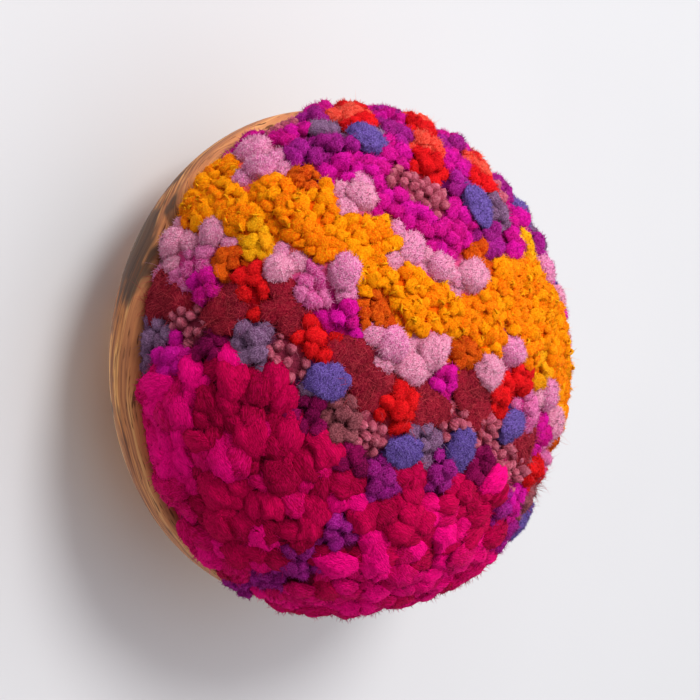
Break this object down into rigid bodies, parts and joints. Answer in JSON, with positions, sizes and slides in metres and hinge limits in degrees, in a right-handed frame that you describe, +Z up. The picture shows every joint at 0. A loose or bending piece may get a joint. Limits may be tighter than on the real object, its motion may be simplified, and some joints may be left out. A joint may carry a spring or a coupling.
{
  "type": "punch needle wall piece and wooden bowl",
  "caption": "Round wall piece: a padded dome of punched wool loops and cut pile, set into a shallow turned wooden bowl whose flat foot goes against the wall.",
  "frame": {"origin": "middle of the bowl's flat foot, on the wall", "axes": "+Z up, +Y into the wall, -Y out into the room"},
  "size_m": [0.1532, 0.1006, 0.1537],
  "materials": {
    "wood": "satin oiled hardwood, streaked grain",
    "yarn": "punched wool loops and cut pile in pinks, reds, orange, lavender and crimson"
  },
  "bodies": {
    "root": {"wooden_bowl": "wood", "punched_dome": "yarn"}
  },
  "joints": []
}
